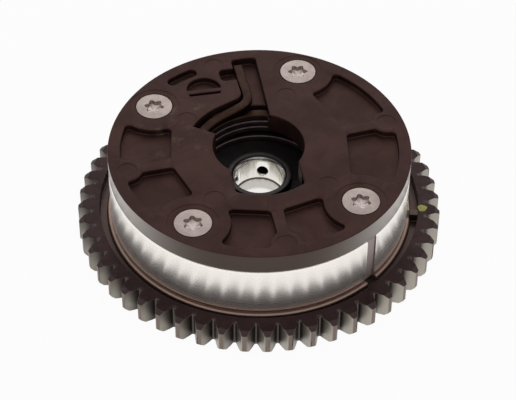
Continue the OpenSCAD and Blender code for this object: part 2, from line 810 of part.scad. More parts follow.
module lock_pin_stop() {
    color(colour_steel)
    translate(concat(polar(pin_circle_r, pin_angle), [stop_z]))
        difference() {
            cylinder(r = stop_r - press_gap, h = stop_h);
            translate([0, 0, -cut]) cylinder(r = stop_vent_r, h = stop_h + 2 * cut);
        }
}

module lock_pin_seat() {
    color(colour_steel)
    translate(concat(polar(pin_circle_r, pin_angle), [plate_t - seat_depth]))
        difference() {
            cylinder(r = seat_out_r, h = seat_depth);
            translate([0, 0, -cut]) cylinder(r = seat_in_r, h = seat_depth + 2 * cut);
        }
}

// Six-lobed outline of the screw drive
module drive_outline() {
    circle(r = drive_waist_r);
    for (k = [0:5])
        translate(polar(drive_r - drive_lobe_r, 60 * k)) circle(r = drive_lobe_r);
}

module cover_screw(i) {
    head_top_z = top_z - mark_depth / 2;
    foot_z = plate_t - screw_grip + screw_end_gap;
    head_depth = head_r - screw_r;
    color(colour_screw)
    translate(concat(polar(screw_circle_r, screw_angles[i]), [0]))
        difference() {
            rotate_extrude()
                polygon([
                    [0, foot_z], [screw_r - edge_chamfer, foot_z], [screw_r, foot_z + edge_chamfer],
                    [screw_r, top_z - mark_depth - head_depth], [head_r, top_z - mark_depth],
                    [head_r, head_top_z], [0, head_top_z]
                ]);
            translate([0, 0, head_top_z - drive_depth])
                rotate([0, 0, drive_turns[i]])
                    linear_extrude(drive_depth + cut) drive_outline();
        }
}

// Seal strip between two radii, with the curve of the wall on the side that it wipes
module seal_strip(r_in, r_out, a) {
    color(colour_seal)
    intersection() {
        radial_box(r_in - cut, r_out + cut, a, seal_w, rotor_z + face_gap, seal_h);
        sector(r_in, r_out, a - 90, a + 90, rotor_z, rotor_h);
    }
}

// Bowed leaf spring that stands behind a seal strip, with its back at r_back
module leaf_spring(r_back, a) {
    arc_r = (leaf_len * leaf_len / 4 + leaf_bow * leaf_bow) / (2 * leaf_bow);
    half_angle = asin(leaf_len / 2 / arc_r);
    leaf_w = seal_w - 2 * spring_gap;
    color(colour_steel)
    rotate([0, 0, a])
        translate([r_back - arc_r, leaf_w / 2, rotor_z + rotor_h / 2])
            rotate([90, 0, 0])
                rotate([0, 0, -half_angle])
                    rotate_extrude(angle = 2 * half_angle)
                        translate([arc_r - leaf_t, 0])
                            square([leaf_t, leaf_w]);
}

module vane_seal(i) {
    r_out = chamber_r - running_gap;
    seal_strip(r_out - seal_d, r_out, vane_mid(i));
}

module vane_seal_spring(i) {
    leaf_spring(chamber_r - running_gap - seal_d - spring_gap, vane_mid(i));
}

module web_seal(i) {
    r_in = hub_r + running_gap;
    seal_strip(r_in, r_in + seal_d, screw_angles[i]);
}

module web_seal_spring(i) {
    leaf_spring(hub_r + running_gap + slot_d - spring_gap, screw_angles[i]);
}

sprocket();
housing();
front_cover();
rotor();
return_spring();
lock_pin();
lock_pin_spring();
lock_pin_stop();
lock_pin_seat();
for (i = chambers) {
    cover_screw(i);
    vane_seal(i);
    vane_seal_spring(i);
    web_seal(i);
    web_seal_spring(i);
}
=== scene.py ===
# Cam phaser on a white studio floor: edges, finishes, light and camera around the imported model
import math
import bmesh
import bpy
from mathutils import Matrix, Vector


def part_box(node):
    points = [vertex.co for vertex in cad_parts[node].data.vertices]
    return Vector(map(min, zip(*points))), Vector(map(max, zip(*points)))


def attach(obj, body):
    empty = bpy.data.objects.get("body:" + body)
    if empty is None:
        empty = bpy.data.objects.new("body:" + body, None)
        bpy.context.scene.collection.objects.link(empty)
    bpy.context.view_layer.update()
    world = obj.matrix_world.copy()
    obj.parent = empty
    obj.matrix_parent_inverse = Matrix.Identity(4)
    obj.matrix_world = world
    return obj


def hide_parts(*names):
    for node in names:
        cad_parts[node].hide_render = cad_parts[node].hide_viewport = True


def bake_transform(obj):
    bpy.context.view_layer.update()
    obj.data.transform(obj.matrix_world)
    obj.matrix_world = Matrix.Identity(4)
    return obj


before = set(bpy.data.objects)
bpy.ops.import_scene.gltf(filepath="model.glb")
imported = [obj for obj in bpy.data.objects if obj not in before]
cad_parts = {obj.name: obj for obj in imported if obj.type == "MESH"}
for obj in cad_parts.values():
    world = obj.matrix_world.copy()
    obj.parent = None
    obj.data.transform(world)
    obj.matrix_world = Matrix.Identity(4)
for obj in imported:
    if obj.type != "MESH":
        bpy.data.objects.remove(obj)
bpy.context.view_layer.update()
scene = bpy.context.scene
mm = 0.001
print("frame loaded:", len(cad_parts), "nodes")


# meshes

sharpAngle = math.radians(28)  # edges that turn more than this are rounded
weldReach = 0.002 * mm


def family(name):  # the four nodes of a repeated piece
    return [f"{name}_{i}" for i in range(1, 5)]


def addPiece(name, data):
    piece = bpy.data.objects.new(name, data)
    scene.collection.objects.link(piece)
    return piece


def setFinish(mesh, material):
    mesh.materials.clear()
    mesh.materials.append(material)


def bakeModifiers(piece):  # the evaluated shape becomes the piece's own mesh
    depsgraph = bpy.context.evaluated_depsgraph_get()
    mesh = bpy.data.meshes.new_from_object(piece.evaluated_get(depsgraph), depsgraph=depsgraph)
    piece.modifiers.clear()
    piece.data = mesh
    return piece


def softEdges(piece, width, segments=2, limit="ANGLE", flatFaces=False):
    bevel = piece.modifiers.new("softEdges", "BEVEL")
    bevel.width = width
    bevel.segments = segments
    bevel.limit_method = limit
    bevel.angle_limit = sharpAngle
    bevel.use_clamp_overlap = False
    bevel.loop_slide = False  # sliding along a flat edge would shoot across the face
    bevel.harden_normals = True
    if flatFaces:
        flat = piece.modifiers.new("flatFaces", "WEIGHTED_NORMAL")
        flat.mode = "FACE_AREA_WITH_ANGLE"  # wide faces shade flat, the rounding takes the turn
        flat.keep_sharp = False
    piece.data.shade_smooth()
    return bakeModifiers(piece)


def nodeMesh(node):  # a welded copy, so that edges can be eased
    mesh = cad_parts[node].data.copy()
    shape = bmesh.new()
    shape.from_mesh(mesh)
    bmesh.ops.remove_doubles(shape, verts=shape.verts, dist=weldReach)
    shape.to_mesh(mesh)
    shape.free()
    return mesh


def nodeCopy(node, name, edge):
    return softEdges(addPiece(name, nodeMesh(node)), edge)


def weightedCopy(node, name, widest, widthOf):  # each sharp edge gets its own rounding, in millimetres
    mesh = nodeMesh(node)
    shape = bmesh.new()
    shape.from_mesh(mesh)
    weight = shape.edges.layers.float.new("bevel_weight_edge")
    for edge in shape.edges:
        if len(edge.link_faces) == 2 and edge.calc_face_angle(0) > sharpAngle:
            edge[weight] = widthOf(edge) / widest
    shape.to_mesh(mesh)
    shape.free()
    return softEdges(addPiece(name, mesh), widest * mm, 3, "WEIGHT", True)


def skinRings(name, rings):  # a closed skin over rings of points, in their order
    shape = bmesh.new()
    loops = [[shape.verts.new(point) for point in ring] for ring in rings]
    for lower, upper in zip(loops, loops[1:]):
        for i in range(len(lower)):
            j = (i + 1) % len(lower)
            shape.faces.new((lower[i], lower[j], upper[j], upper[i]))
    shape.faces.new(list(reversed(loops[0])))
    shape.faces.new(loops[-1])
    mesh = bpy.data.meshes.new(name)
    shape.to_mesh(mesh)
    shape.free()
    mesh.shade_smooth()
    return mesh


def dress(piece, material, body, slot, *nodes):  # a spring has no body here
    setFinish(piece.data, material)
    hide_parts(*nodes)
    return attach(piece, body) if body else piece


# node trees

def feed(tree, socket, value):  # a link from another node, or else a plain setting
    if isinstance(value, bpy.types.NodeSocket):
        tree.links.new(value, socket)
    else:
        socket.default_value = value


def addNode(tree, kind, inputs=None, **settings):
    node = tree.nodes.new(kind)
    for key, value in settings.items():
        setattr(node, key, value)
    for key, value in (inputs or {}).items():
        feed(tree, node.inputs[key], value)
    return node


def calc(tree, operation, *values):
    return addNode(tree, "ShaderNodeMath", dict(enumerate(values)), operation=operation).outputs[0]


def both(tree, first, second):  # where two masks meet
    return calc(tree, "MULTIPLY", first, second)


def awayFrom(tree, value, middle):
    return calc(tree, "ABSOLUTE", calc(tree, "SUBTRACT", value, middle))


def vary(tree, mask, base, spread):
    return calc(tree, "ADD", base, calc(tree, "MULTIPLY", mask, spread))


def ramp(tree, value, low, high, toLow=0.0, toHigh=1.0):
    sockets = {"Value": value, "From Min": low, "From Max": high, "To Min": toLow, "To Max": toHigh}
    return addNode(tree, "ShaderNodeMapRange", sockets, interpolation_type="SMOOTHSTEP").outputs[0]


def blendValue(tree, factor, first, second):
    return addNode(tree, "ShaderNodeMix", {0: factor, 2: first, 3: second}).outputs[0]


def blendColour(tree, factor, first, second):
    first, second = ((*c, 1.0) if isinstance(c, tuple) else c for c in (first, second))
    return addNode(tree, "ShaderNodeMix", {0: factor, 6: first, 7: second}, data_type="RGBA").outputs[2]


def objectPlace(tree):
    return addNode(tree, "ShaderNodeTexCoord").outputs["Object"]


def noise(tree, scale, detail, roughness=0.5, distortion=0.0):
    sockets = {"Vector": objectPlace(tree), "Scale": scale, "Detail": detail, "Roughness": roughness}
    return addNode(tree, "ShaderNodeTexNoise", {**sockets, "Distortion": distortion}).outputs[0]


def newGroup(name, inputs, outputs):
    group = bpy.data.node_groups.new(name, "ShaderNodeTree")
    for label, value in inputs.items():
        socket = group.interface.new_socket(label, in_out="INPUT", socket_type="NodeSocketFloat")
        socket.default_value = value
    for label in outputs:
        group.interface.new_socket(label, in_out="OUTPUT", socket_type="NodeSocketFloat")
    return group, group.nodes.new("NodeGroupInput").outputs, group.nodes.new("NodeGroupOutput").inputs


def useGroup(tree, group, values=None):
    return addNode(tree, "ShaderNodeGroup", values, node_tree=group).outputs


def newMaterial(name, metallic):
    material = bpy.data.materials.new(name)
    material.use_nodes = True
    tree = material.node_tree
    shader = tree.nodes["Principled BSDF"]
    shader.inputs["Metallic"].default_value = metallic
    return material, tree, shader.inputs


def setBump(tree, shader, height, depth, strength):
    sockets = {"Strength": strength, "Distance": depth * mm, "Height": height}
    bump = addNode(tree, "ShaderNodeBump", sockets)
    tree.links.new(bump.outputs[0], shader["Normal"])


def newTree(name, inputs):  # a mesh and a finish go in beside the named inputs, a mesh comes out
    tree = bpy.data.node_groups.new(name, "GeometryNodeTree")
    for label, kind in {"Geometry": "Geometry", **inputs, "Finish": "Material"}.items():
        tree.interface.new_socket(label, in_out="INPUT", socket_type=f"NodeSocket{kind}")
    tree.interface.new_socket("Geometry", in_out="OUTPUT", socket_type="NodeSocketGeometry")
    return tree, tree.nodes.new("NodeGroupInput").outputs


def endTree(tree, geometry, finish):
    real = addNode(tree, "GeometryNodeRealizeInstances", {0: geometry})
    finished = addNode(tree, "GeometryNodeSetMaterial", {"Geometry": real.outputs[0], "Material": finish})
    addNode(tree, "NodeGroupOutput", {0: finished.outputs[0]})
    return tree


def runTree(piece, tree, values):  # modifier inputs go by socket identifier
    modifier = piece.modifiers.new(tree.name, "NODES")
    modifier.node_group = tree
    for item in tree.interface.items_tree:
        if item.item_type == "SOCKET" and item.in_out == "INPUT" and item.name in values:
            modifier[item.identifier] = values[item.name]
    return bakeModifiers(piece)


# shared finishes

def makeTurnedPlace():  # where a point lies about the camshaft axis, in millimetres and degrees
    group, _, made = newGroup("turnedPlace", {}, ["Radius", "Height", "Angle", "Upward", "Around"])
    x, y, z = addNode(group, "ShaderNodeSeparateXYZ", {0: objectPlace(group)}).outputs
    squares = calc(group, "ADD", calc(group, "MULTIPLY", x, x), calc(group, "MULTIPLY", y, y))
    reach = calc(group, "SQRT", squares)
    group.links.new(calc(group, "DIVIDE", reach, mm), made["Radius"])
    group.links.new(calc(group, "DIVIDE", z, mm), made["Height"])
    group.links.new(calc(group, "DEGREES", calc(group, "ARCTAN2", y, x)), made["Angle"])
    normal = addNode(group, "ShaderNodeNewGeometry").outputs["True Normal"]
    nx, ny, nz = addNode(group, "ShaderNodeSeparateXYZ", {0: normal}).outputs
    group.links.new(nz, made["Upward"])
    swing = calc(group, "SUBTRACT", calc(group, "MULTIPLY", x, ny), calc(group, "MULTIPLY", y, nx))
    group.links.new(calc(group, "DIVIDE", swing, reach), made["Around"])
    return group


def makeCastGrain():  # fine sintered grain and wide cloudy patches
    patchFrom, patchFull = 0.32, 0.7
    scales = {"Grain Scale": 2600.0, "Patch Scale": 110.0}
    group, given, made = newGroup("castGrain", scales, ["Grain", "Patches"])
    group.links.new(noise(group, given["Grain Scale"], 3.0, 0.6), made["Grain"])
    cloud = noise(group, given["Patch Scale"], 4.0, 0.62, 0.6)
    group.links.new(ramp(group, cloud, patchFrom, patchFull), made["Patches"])
    return group


def makeToolLines():  # fine lines of a turning tool along one coordinate
    group, given, made = newGroup("toolLines", {"Along": 0.0, "Spacing": 0.25}, ["Lines"])
    along = calc(group, "DIVIDE", given["Along"], given["Spacing"])
    sockets = {"W": along, "Scale": 1.0, "Detail": 4.0, "Roughness": 0.7}
    streaks = addNode(group, "ShaderNodeTexNoise", sockets, noise_dimensions="1D")
    group.links.new(streaks.outputs[0], made["Lines"])
    return group


def makeEdgeWear():  # bare bright metal where an edge has rubbed
    turnFrom, turnFull, patchScale, patchFade = 0.02, 0.16, 420.0, 0.12
    group, given, made = newGroup("edgeWear", {"Width": 0.3 * mm, "Break Up": 0.5}, ["Wear"])
    rounded = addNode(group, "ShaderNodeBevel", {"Radius": given["Width"]}, samples=6).outputs[0]
    normal = addNode(group, "ShaderNodeNewGeometry").outputs["True Normal"]
    facing = addNode(group, "ShaderNodeVectorMath", {0: rounded, 1: normal}, operation="DOT_PRODUCT")
    edge = ramp(group, calc(group, "SUBTRACT", 1.0, facing.outputs["Value"]), turnFrom, turnFull)
    low = calc(group, "SUBTRACT", given["Break Up"], patchFade)
    high = calc(group, "ADD", given["Break Up"], patchFade)
    kept = ramp(group, noise(group, patchScale, 5.0), low, high)
    group.links.new(both(group, edge, kept), made["Wear"])
    return group


turnedPlace = makeTurnedPlace()
castGrain = makeCastGrain()
toolLines = makeToolLines()
edgeWear = makeEdgeWear()
print("finish groups built")


# front cover finish
# Lengths are in millimetres. A mask's pair goes from none to full, a roughness is its base and spread,
# and a bump is its depth and strength.

coverLook = {"oxide": ((0.031, 0.0136, 0.0116), (0.0445, 0.021, 0.0172)), "stain": (0.078, 0.055, 0.034),
             "stainCentre": (-23, 9, 28.5), "stainReach": 19, "stainFar": 0.12, "stainScale": 210.0,
             "stainCloud": (0.52, 0.7), "stainShare": 0.8, "worn": (0.085, 0.058, 0.048), "wornShare": 0.3,
             "turned": ((0.062, 0.044, 0.036), (0.092, 0.067, 0.056)), "paintedSheen": (0.5, 0.46, 0.43),
             "paintedSheenFacing": (0.33, 0.8), "rimRadii": (42.75, 42.87), "rimTilts": (0.6, 0.3),
             "satin": (0.43, 0.2), "smooth": (0.26, 0.12), "bump": (0.03, 0.35)}


def coverOxide():  # brown cast face, and a turned rim with a painted sheen that pales its colour towards grey where the rim turns away from the view
    look = coverLook
    material, tree, shader = newMaterial("coverOxide", 0.92)
    place = useGroup(tree, turnedPlace)
    grain = useGroup(tree, castGrain, {"Patch Scale": 95.0})
    wear = useGroup(tree, edgeWear, {"Width": 0.35 * mm, "Break Up": 0.56})["Wear"]
    lines = useGroup(tree, toolLines, {"Along": place["Height"], "Spacing": 0.5})["Lines"]
    oxide = blendColour(tree, grain["Patches"], *look["oxide"])
    ends = {0: objectPlace(tree), 1: [c * mm for c in look["stainCentre"]]}
    gap = addNode(tree, "ShaderNodeVectorMath", ends, operation="DISTANCE").outputs["Value"]
    reach = look["stainReach"] * mm
    near = ramp(tree, gap, reach, reach / 4, look["stainFar"], 1.0)
    cloud = noise(tree, look["stainScale"], 6.0, 0.7)
    stain = both(tree, ramp(tree, cloud, *look["stainCloud"], 0.0, look["stainShare"]), near)
    face = blendColour(tree, stain, oxide, look["stain"])
    worn = blendColour(tree, calc(tree, "MULTIPLY", wear, look["wornShare"]), face, look["worn"])
    turned = blendColour(tree, lines, *look["turned"])
    # painted sheen: Layer Weight facing blends the rim's colour from turned brown to pale grey, so it
    # follows the view
    facing = addNode(tree, "ShaderNodeLayerWeight", {"Blend": 0.5}).outputs["Facing"]
    bright = blendColour(tree, ramp(tree, facing, *look["paintedSheenFacing"]), turned, look["paintedSheen"])
    outside = ramp(tree, place["Radius"], *look["rimRadii"])
    rim = both(tree, outside, ramp(tree, place["Upward"], *look["rimTilts"]))
    tree.links.new(blendColour(tree, rim, worn, bright), shader["Base Color"])
    satin = vary(tree, grain["Grain"], *look["satin"])
    smooth = vary(tree, lines, *look["smooth"])
    tree.links.new(blendValue(tree, rim, satin, smooth), shader["Roughness"])
    setBump(tree, shader, grain["Grain"], *look["bump"])
    return material


# sprocket finish

toothLook = {"flange": ((0.02, 0.0106, 0.0104), (0.03, 0.0166, 0.0162)),
             "bevel": (0.045, 0.03, 0.03), "bevelRadii": (50.9, 51.1), "bevelTilts": (0.96, 0.9),
             "groove": (0.06, 0.041, 0.037), "grooveRadii": (46.4, 46.3), "grooveHeights": (4.0, 4.6),
             "sunkHeights": (7.9, 7.7), "seat": (0.27, 0.185, 0.154), "seatRadii": (44.4, 44.2),
             "seatHeights": (5.0, 6.0), "ribAngle": -5.5, "ribReach": (1.6, 2.6), "teeth": 52,
             "firstRoot": -0.5, "rootRadius": 48.4, "root": (0.14, 0.11, 0.1), "rootShare": 0.6,
             "rootWidths": (0.16, 0.04), "rootRise": (-0.9, 0), "rootGrain": (0.4, 0.62),
             "steepTilts": (0.8, 0.35), "workedRise": (0, 0.3), "flankRise": (0.6, 3.6),
             "polished": ((0.25, 0.228, 0.195), (0.32, 0.294, 0.25)), "fading": (0.08, 0.067, 0.06),
             "fadingHeights": (2.0, 7.9), "fadingShare": 0.7, "paintedHollowShadeRise": (0.55, 0.3),
             "paintedHollowShade": ((0.045, 0.036, 0.035), (0.1, 0.082, 0.077)), "paintedLitFlank": (0.45, 0.415, 0.36),
             "paintedLitFlankRise": (0.5, 1.8), "paintedLitFlankTurns": (-0.3, -0.7), "paintedLitFlankShare": 0.75,
             "tip": (0.2, 0.154, 0.133), "tipRise": (4.0, 4.06), "worn": (0.3, 0.26, 0.235),
             "wornShare": 0.4, "speck": (0.3, 0.27, 0.25), "speckGrain": (0.69, 0.76),
             "speckShare": 0.7, "satin": (0.3, 0.2), "glossy": (0.33, 0.12), "bump": (0.03, 0.12)}


def toothOxide():  # dark flange, polished glossy flanks with painted shade deep in the hollows and a painted highlight on one side of each tooth, a lighter seat partly painted light, painted glints at the tooth roots, a few specks
    look = toothLook
    material, tree, shader = newMaterial("toothOxide", 0.92)
    place = useGroup(tree, turnedPlace)
    radius, height, angle = place["Radius"], place["Height"], place["Angle"]
    grain = useGroup(tree, castGrain, {"Grain Scale": 2200.0, "Patch Scale": 140.0})
    wear = useGroup(tree, edgeWear, {"Width": 0.3 * mm, "Break Up": 0.48})["Wear"]

    def aboveRoot(rises):
        return ramp(tree, radius, *[look["rootRadius"] + rise for rise in look[rises]])

    # front face with its bevel, the groove, the seat partly painted lighter, and painted glints at the roots
    flange = blendColour(tree, grain["Patches"], *look["flange"])
    tilted = ramp(tree, place["Upward"], *look["bevelTilts"])
    bevel = both(tree, tilted, ramp(tree, radius, *look["bevelRadii"]))
    faced = blendColour(tree, bevel, flange, look["bevel"])
    sunk = ramp(tree, height, *look["sunkHeights"])
    ringed = both(tree, sunk, ramp(tree, height, *look["grooveHeights"]))
    groove = both(tree, ringed, ramp(tree, radius, *look["grooveRadii"]))
    hollow = blendColour(tree, groove, faced, look["groove"])
    # the seat is a lighter turned brown, raised further as painted light against the shade in its corner
    # beside the band
    raised = both(tree, ramp(tree, radius, *look["seatRadii"]), ramp(tree, height, *look["seatHeights"]))
    fromRib = awayFrom(tree, angle, look["ribAngle"])
    seat = both(tree, raised, ramp(tree, fromRib, *look["ribReach"]))
    seated = blendColour(tree, seat, hollow, look["seat"])
    # painted highlight: lighter spots at each tooth root, broken up by the grain, where the root edges catch
    # the light
    turns = calc(tree, "DIVIDE", calc(tree, "SUBTRACT", angle, look["firstRoot"]), 360 / look["teeth"])
    aside = awayFrom(tree, turns, calc(tree, "ROUND", turns))
    root = both(tree, ramp(tree, aside, *look["rootWidths"]), aboveRoot("rootRise"))
    paintedRootGlint = both(tree, root, ramp(tree, grain["Grain"], *look["rootGrain"]))
    rooted = blendColour(tree, calc(tree, "MULTIPLY", paintedRootGlint, look["rootShare"]), seated, look["root"])

    # flanks go from a bare polish, darker towards the front face, to painted shade deep in the hollows, and
    # one side of each tooth gets a painted highlight
    steep = ramp(tree, calc(tree, "ABSOLUTE", place["Upward"]), *look["steepTilts"])
    worked = both(tree, steep, aboveRoot("workedRise"))
    polished = blendColour(tree, grain["Patches"], *look["polished"])
    upper = ramp(tree, height, *look["fadingHeights"], 0.0, look["fadingShare"])
    fading = blendColour(tree, upper, polished, look["fading"])
    # painted shade: near the root the flanks turn dark, where the hollow between the teeth lies in shade
    paintedHollowShade = blendColour(tree, aboveRoot("paintedHollowShadeRise"), *look["paintedHollowShade"])
    flank = blendColour(tree, aboveRoot("flankRise"), paintedHollowShade, fading)
    # painted highlight: flanks facing one way round the axis are painted much lighter, as if lit from that
    # side
    paintedLitFlank = blendColour(tree, aboveRoot("paintedLitFlankRise"), paintedHollowShade, look["paintedLitFlank"])
    paintedLitSide = ramp(tree, place["Around"], *look["paintedLitFlankTurns"], 0.0, look["paintedLitFlankShare"])
    flanked = blendColour(tree, worked, rooted, blendColour(tree, paintedLitSide, flank, paintedLitFlank))
    tipped = blendColour(tree, both(tree, steep, aboveRoot("tipRise")), flanked, look["tip"])

    rubbed = blendColour(tree, calc(tree, "MULTIPLY", wear, look["wornShare"]), tipped, look["worn"])
    specks = ramp(tree, grain["Grain"], *look["speckGrain"], 0.0, look["speckShare"])
    tree.links.new(blendColour(tree, specks, rubbed, look["speck"]), shader["Base Color"])
    satin = vary(tree, grain["Grain"], *look["satin"])
    glossy = vary(tree, grain["Grain"], *look["glossy"])
    tree.links.new(blendValue(tree, worked, satin, glossy), shader["Roughness"])
    setBump(tree, shader, grain["Grain"], *look["bump"])
    return material


# housing finish

bandLook = {"bright": ((0.9, 0.85, 0.8), (0.985, 0.935, 0.88)), "polished": (0.26, 0.03),
            "flute": (0.34, 0.28, 0.268), "dull": (0.42, 0.1), "fluteAngle": -43.5, "fluteReach": (2.5, 2.4),
            "fluteRadii": (42.85, 42.75), "anisotropic": 0.85}


def turnedBand():  # bright turned wall whose fine lines blur what it mirrors, duller in the flute
    look = bandLook
    material, tree, shader = newMaterial("turnedBand", 1.0)
    shader["Anisotropic"].default_value = look["anisotropic"]
    shader["Anisotropic Rotation"].default_value = 0.25  # the gloss spreads across the turning lines
    place = useGroup(tree, turnedPlace)
    grain = useGroup(tree, castGrain)
    lines = useGroup(tree, toolLines, {"Along": place["Height"], "Spacing": 0.3})["Lines"]
    aside = awayFrom(tree, place["Angle"], look["fluteAngle"])
    beside = ramp(tree, aside, *look["fluteReach"])
    flute = both(tree, beside, ramp(tree, place["Radius"], *look["fluteRadii"]))
    bright = blendColour(tree, lines, *look["bright"])
    tree.links.new(blendColour(tree, flute, bright, look["flute"]), shader["Base Color"])
    polished = vary(tree, lines, *look["polished"])
    dull = vary(tree, grain["Grain"], *look["dull"])
    tree.links.new(blendValue(tree, flute, polished, dull), shader["Roughness"])
    return material


# rotor finish

rotorLook = {"oxide": ((0.034, 0.028, 0.029), (0.048, 0.04, 0.041)), "bevel": (0.016, 0.014, 0.014),
             "bevelRadii": (8.1, 7.9), "boreRadii": (7.6, 7.25), "boreStep": 10.0, "stepFade": 0.1,
             "step": (0.12, 0.09, 0.075), "stepReach": (0.24, 0.14), "mouthDepths": (3.2, 4.6),
             "upper": ((0.9, 0.885, 0.84), (0.99, 0.975, 0.93)),
             "lower": ((0.6, 0.575, 0.54), (0.97, 0.95, 0.91)),
             "satin": (0.36, 0.2), "ground": (0.1, 0.12), "bump": (0.01, 0.3)}


def rotorOxide():  # dark oxide under an oil film, with a ground bolt bore that narrows at a dark step and is painted darker just below it as painted shade
    look = rotorLook
    step, fade = look["boreStep"], look["stepFade"]
    material, tree, shader = newMaterial("rotorOxide", 0.92)
    place = useGroup(tree, turnedPlace)
    grain = useGroup(tree, castGrain)
    lines = useGroup(tree, toolLines, {"Along": place["Height"], "Spacing": 0.35})["Lines"]
    oxide = blendColour(tree, grain["Patches"], *look["oxide"])
    bevelled = blendColour(tree, ramp(tree, place["Radius"], *look["bevelRadii"]), oxide, look["bevel"])
    upper = blendColour(tree, lines, *look["upper"])
    # painted shade: the narrow part of the bore is darker near the step and back to bright steel towards its
    # lower end
    mouth = ramp(tree, place["Height"], *[step - depth for depth in look["mouthDepths"]])
    lower = blendColour(tree, mouth, *look["lower"])
    walls = blendColour(tree, ramp(tree, place["Height"], step + fade, step - fade), upper, lower)
    fromStep = awayFrom(tree, place["Height"], step)
    bright = blendColour(tree, ramp(tree, fromStep, *look["stepReach"]), walls, look["step"])
    bore = ramp(tree, place["Radius"], *look["boreRadii"])
    tree.links.new(blendColour(tree, bore, bevelled, bright), shader["Base Color"])
    satin = vary(tree, grain["Grain"], *look["satin"])
    ground = vary(tree, lines, *look["ground"])
    tree.links.new(blendValue(tree, bore, satin, ground), shader["Roughness"])
    setBump(tree, shader, grain["Grain"], *look["bump"])
    return material


# turned and cast pieces

edges = {"housing": 0.1 * mm, "rotor": 0.15 * mm}
teeth = {"tipFrom": 52.0, "rootFrom": 48.0, "tipEdge": 0.34, "rootEdge": 0.32, "faceEdge": 0.16,
         "upright": 1.0}
cover = {"windowEdge": 0.6, "castEdge": 0.3, "fineEdge": 0.04, "shallow": 0.3, "wallTilt": 0.8,
         "topReach": 0.01, "windowAngle": 281.2, "windowHalf": 36.0, "windowFrom": 14.5, "windowTo": 20.0}
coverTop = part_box("front_cover")[1].z


def coverEdge(edge):  # wide on the pockets, a chamfer round the window, fine on the shallow marks
    rises = []
    for side in edge.link_faces:
        levels = [v.co.z for v in side.verts]
        if abs(side.normal.z) < cover["wallTilt"]:
            rises.append((max(levels) - min(levels)) / mm)
    middle = (edge.verts[0].co + edge.verts[1].co) / 2
    turn = (math.degrees(math.atan2(middle.y, middle.x)) - cover["windowAngle"] + 180) % 360 - 180
    ringed = cover["windowFrom"] < middle.xy.length / mm < cover["windowTo"]
    onTop = coverTop - middle.z < cover["topReach"] * mm
    if ringed and onTop and abs(turn) < cover["windowHalf"]:
        return cover["windowEdge"]
    return cover["fineEdge"] if min(rises, default=0) < cover["shallow"] else cover["castEdge"]


def toothEdge(edge):  # rounded tips and hollows between the teeth, finer edges elsewhere
    first, second = (v.co for v in edge.verts)
    radius = (first + second).xy.length / 2 / mm
    upright = abs(first.z - second.z) > teeth["upright"] * mm
    if upright and radius > teeth["tipFrom"]:
        return teeth["tipEdge"]
    if upright and radius > teeth["rootFrom"]:
        return teeth["rootEdge"]
    return teeth["faceEdge"]


chainSprocket = weightedCopy("sprocket", "chainSprocket", teeth["tipEdge"], toothEdge)
dress(chainSprocket, toothOxide(), "housing", "sintered_steel", "sprocket")
vaneHousing = nodeCopy("housing", "vaneHousing", edges["housing"])
dress(vaneHousing, turnedBand(), "housing", "turned_steel", "housing")
frontCover = weightedCopy("front_cover", "frontCover", cover["windowEdge"], coverEdge)
dress(frontCover, coverOxide(), "housing", "steam_oxide", "front_cover")
vaneRotor = nodeCopy("rotor", "vaneRotor", edges["rotor"])
dress(vaneRotor, rotorOxide(), "rotor", "steam_oxide", "rotor")
print("sprocket, housing, cover and rotor dressed")


# cover screws: the rim goes by inset and drop, the drive's wall by growth and drop

screw = {"headRadius": 5.2, "shankRadius": 3.0, "footChamfer": 0.4, "rimHeight": 0.1, "pole": 0.02,
         "rim": ((0.05, 0.12), (0, 0.08), (0.04, 0.03), (0.22, 0)), "driveRadius": 2.8, "driveWaist": 2.0,
         "driveWall": ((0.12, 0), (0.03, 0.072), (0, 0.168), (-0.06, 1.35)), "floorDepth": 1.6,
         "driveDepth": 1.75, "lobes": 6, "lobePower": 1.15, "turns": [3, -8, 37, 40], "around": 96,
         "sharpAngle": 38}
screwLook = {"head": ((0.27, 0.222, 0.205), (0.335, 0.28, 0.262)),
             "drive": ((0.36, 0.3, 0.275), (0.56, 0.48, 0.46)), "driveDrops": (0.12, 0.3),
             "floorTilts": (0.5, 0.9), "worn": (0.5, 0.45, 0.43), "wornShare": 0.5, "dull": (0.32, 0.25),
             "bump": (0.02, 0.3)}


def screwZinc(headTop):  # dull zinc-coloured heads with faint handling marks, and painted light inside the drive
    look = screwLook
    material, tree, shader = newMaterial("screwZinc", 1.0)
    place = useGroup(tree, turnedPlace)
    grain = useGroup(tree, castGrain, {"Grain Scale": 3400.0, "Patch Scale": 330.0})
    wear = useGroup(tree, edgeWear, {"Width": 0.25 * mm, "Break Up": 0.5})["Wear"]
    head = blendColour(tree, grain["Patches"], *look["head"])
    # painted light: the drive's walls, and most of all its floor, are painted paler against the shade in the
    # recess
    drive = blendColour(tree, ramp(tree, place["Upward"], *look["floorTilts"]), *look["drive"])
    below = ramp(tree, place["Height"], *[headTop - drop for drop in look["driveDrops"]])
    dull = blendColour(tree, below, head, drive)
    rubbed = blendColour(tree, calc(tree, "MULTIPLY", wear, look["wornShare"]), dull, look["worn"])
    tree.links.new(rubbed, shader["Base Color"])
    tree.links.new(vary(tree, grain["Grain"], *look["dull"]), shader["Roughness"])
    setBump(tree, shader, grain["Grain"], *look["bump"])
    return material


